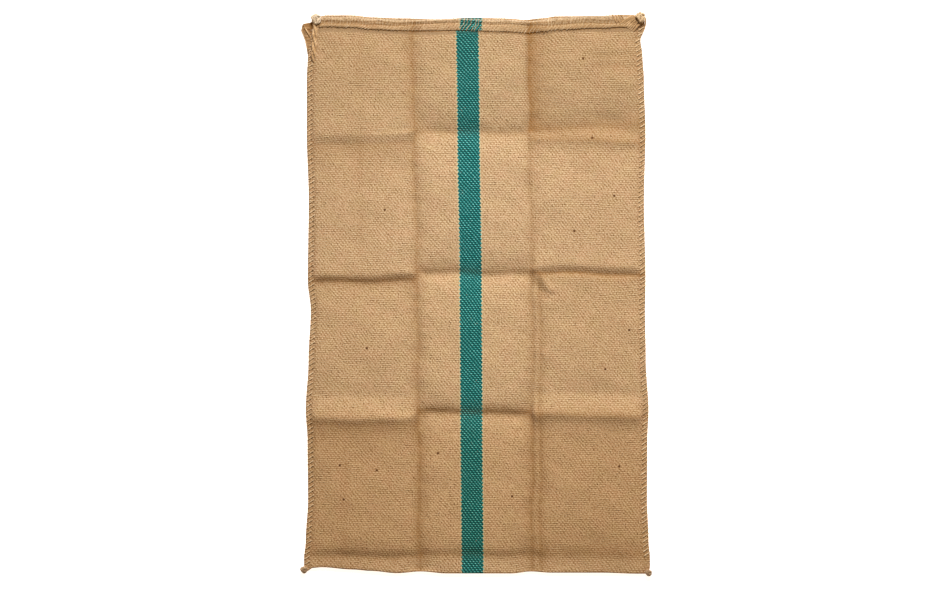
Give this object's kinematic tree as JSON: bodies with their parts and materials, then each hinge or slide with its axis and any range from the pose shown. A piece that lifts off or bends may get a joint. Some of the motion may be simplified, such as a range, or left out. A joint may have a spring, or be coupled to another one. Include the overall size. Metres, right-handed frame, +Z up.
{
  "type": "jute sack",
  "caption": "Empty woven jute sack lying flat, open at its hemmed mouth, with a folded bottom and sewn sides, for bulk dry goods.",
  "frame": {"origin": "centre of the sack's footprint, on the surface it lies on", "axes": "+Y along the sack towards its mouth, +Z up through its front layer, +X across it"},
  "size_m": [0.7008, 1.1261, 0.0173],
  "materials": {
    "jute_cloth": "natural double-warp jute twill with one green warp stripe",
    "jute_twine": "natural hairy jute sewing twine"
  },
  "bodies": {
    "root": {"sack_cloth": "jute_cloth", "knot_bottom_left": "jute_twine", "knot_bottom_right": "jute_twine", "knot_mouth_left": "jute_twine", "knot_mouth_right": "jute_twine"}
  },
  "joints": []
}
